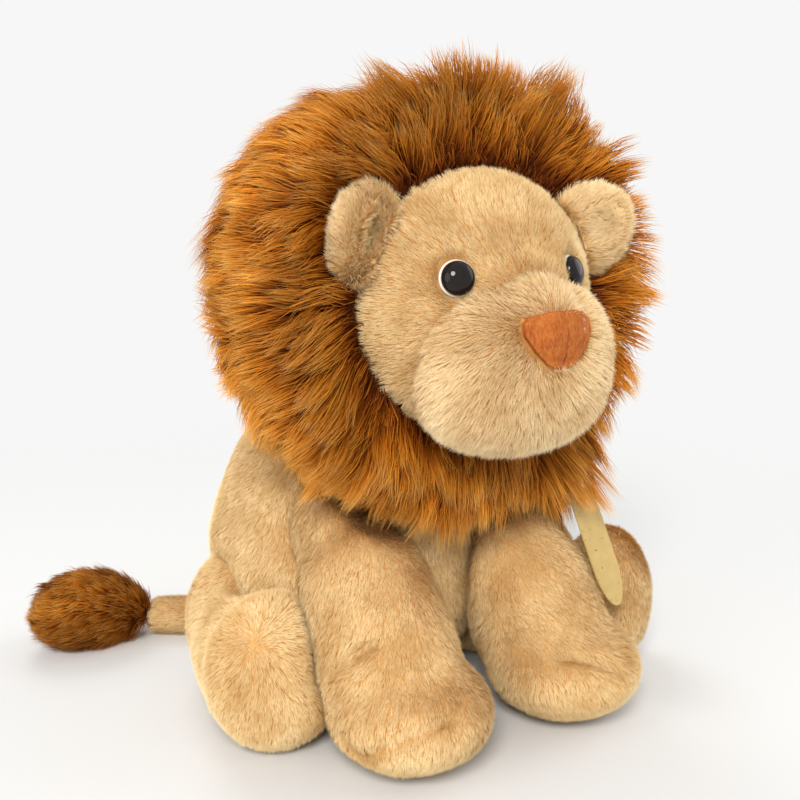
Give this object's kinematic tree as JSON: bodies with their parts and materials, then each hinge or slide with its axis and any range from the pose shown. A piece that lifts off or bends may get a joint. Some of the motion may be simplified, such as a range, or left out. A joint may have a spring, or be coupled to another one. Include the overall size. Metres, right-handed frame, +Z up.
{
  "type": "plush lion",
  "caption": "Seated stuffed lion with a long-pile mane, round ears, a pale muzzle with a suede nose, soft splayed legs and a tufted tail",
  "frame": {"origin": "on the floor under the middle plane of the lion, inside the flat seat panel", "axes": "+Z up, the lion faces -Y, its own left side is +X"},
  "size_m": [0.2556, 0.2735, 0.29],
  "materials": {
    "short_pile": "tan short-pile plush cloth with a soft sheen",
    "pale_pile": "pale cream-tan short-pile plush cloth",
    "long_pile": "orange-brown long-pile faux fur, darker at the roots and paler at the tips",
    "fibre_fill": "white loose polyester fibre",
    "nose_suede": "terracotta brushed suede cloth",
    "eye_black": "polished black",
    "eye_white": "smooth off-white",
    "nylon": "translucent white nylon",
    "bag_cloth": "plain woven inner bag",
    "tag_card": "bare kraft card, speckled and slightly glossy"
  },
  "bodies": {
    "torso": {"torso_cover": "short_pile", "seat_panel": "short_pile", "torso_stuffing": "fibre_fill", "pellet_bag": "bag_cloth"},
    "head": {"head_stuffing": "fibre_fill", "face_cover": "short_pile", "muzzle_cover": "pale_pile", "muzzle_stuffing": "fibre_fill", "nose_patch": "nose_suede", "mane_back": "long_pile", "mane_crown": "long_pile", "mane_left": "long_pile", "mane_bib": "long_pile", "mane_right": "long_pile", "eye_right": "eye_black", "eye_rim_right": "eye_white", "eye_washer_right": "nylon", "eye_left": "eye_black", "eye_rim_left": "eye_white", "eye_washer_left": "nylon"},
    "ear_right": {"ear_back_right": "short_pile", "ear_lining_right": "pale_pile"},
    "front_leg_right": {"front_leg_cover_right": "short_pile", "front_leg_stuffing_right": "fibre_fill"},
    "hind_leg_right": {"hind_leg_cover_right": "short_pile", "hind_leg_stuffing_right": "fibre_fill"},
    "ear_left": {"ear_back_left": "short_pile", "ear_lining_left": "pale_pile"},
    "front_leg_left": {"front_leg_cover_left": "short_pile", "front_leg_stuffing_left": "fibre_fill", "tag_barb": "nylon"},
    "hind_leg_left": {"hind_leg_cover_left": "short_pile", "hind_leg_stuffing_left": "fibre_fill"},
    "tail": {"tail_cover": "short_pile", "tail_stuffing": "fibre_fill", "tail_tuft": "long_pile"},
    "tag": {"swing_tag": "tag_card"}
  },
  "joints": [
    {"name": "head_turn", "type": "hinge", "parent": "torso", "child": "head", "pos_m": [0, -0.043, 0.19], "axis": [0, 0, 1], "range_deg": [-15, 15], "stiffness_Nm_per_rad": 0.15},
    {"name": "ear_right_fold", "type": "hinge", "parent": "head", "child": "ear_right", "pos_m": [-0.04997, -0.08202, 0.21299], "axis": [0.4384, 0, 0.8988], "range_deg": [0, 15], "stiffness_Nm_per_rad": 0.02},
    {"name": "ear_left_fold", "type": "hinge", "parent": "head", "child": "ear_left", "pos_m": [0.04997, -0.08202, 0.21299], "axis": [0.4384, 0, -0.8988], "range_deg": [0, 15], "stiffness_Nm_per_rad": 0.02},
    {"name": "front_leg_right_lift", "type": "hinge", "parent": "torso", "child": "front_leg_right", "pos_m": [-0.04, -0.042, 0.088], "axis": [-1, 0, 0], "range_deg": [0, 18], "stiffness_Nm_per_rad": 0.06},
    {"name": "front_leg_left_lift", "type": "hinge", "parent": "torso", "child": "front_leg_left", "pos_m": [0.04, -0.042, 0.088], "axis": [-1, 0, 0], "range_deg": [0, 18], "stiffness_Nm_per_rad": 0.06},
    {"name": "hind_leg_right_splay", "type": "hinge", "parent": "torso", "child": "hind_leg_right", "pos_m": [-0.05, 0.028, 0.0335], "axis": [0, 0, -1], "range_deg": [0, 15], "stiffness_Nm_per_rad": 0.06},
    {"name": "hind_leg_left_splay", "type": "hinge", "parent": "torso", "child": "hind_leg_left", "pos_m": [0.05, 0.008, 0.0335], "axis": [0, 0, 1], "range_deg": [0, 15], "stiffness_Nm_per_rad": 0.06},
    {"name": "tail_swing", "type": "hinge", "parent": "torso", "child": "tail", "pos_m": [0, 0.076, 0.0095], "axis": [0, 0, 1], "range_deg": [-20, 12], "stiffness_Nm_per_rad": 0.01},
    {"name": "tag_swing", "type": "hinge", "parent": "front_leg_left", "child": "tag", "pos_m": [0.067, -0.082, 0.094], "axis": [0.1632, -0.9254, 0.342], "range_deg": [-4, 8]}
  ]
}
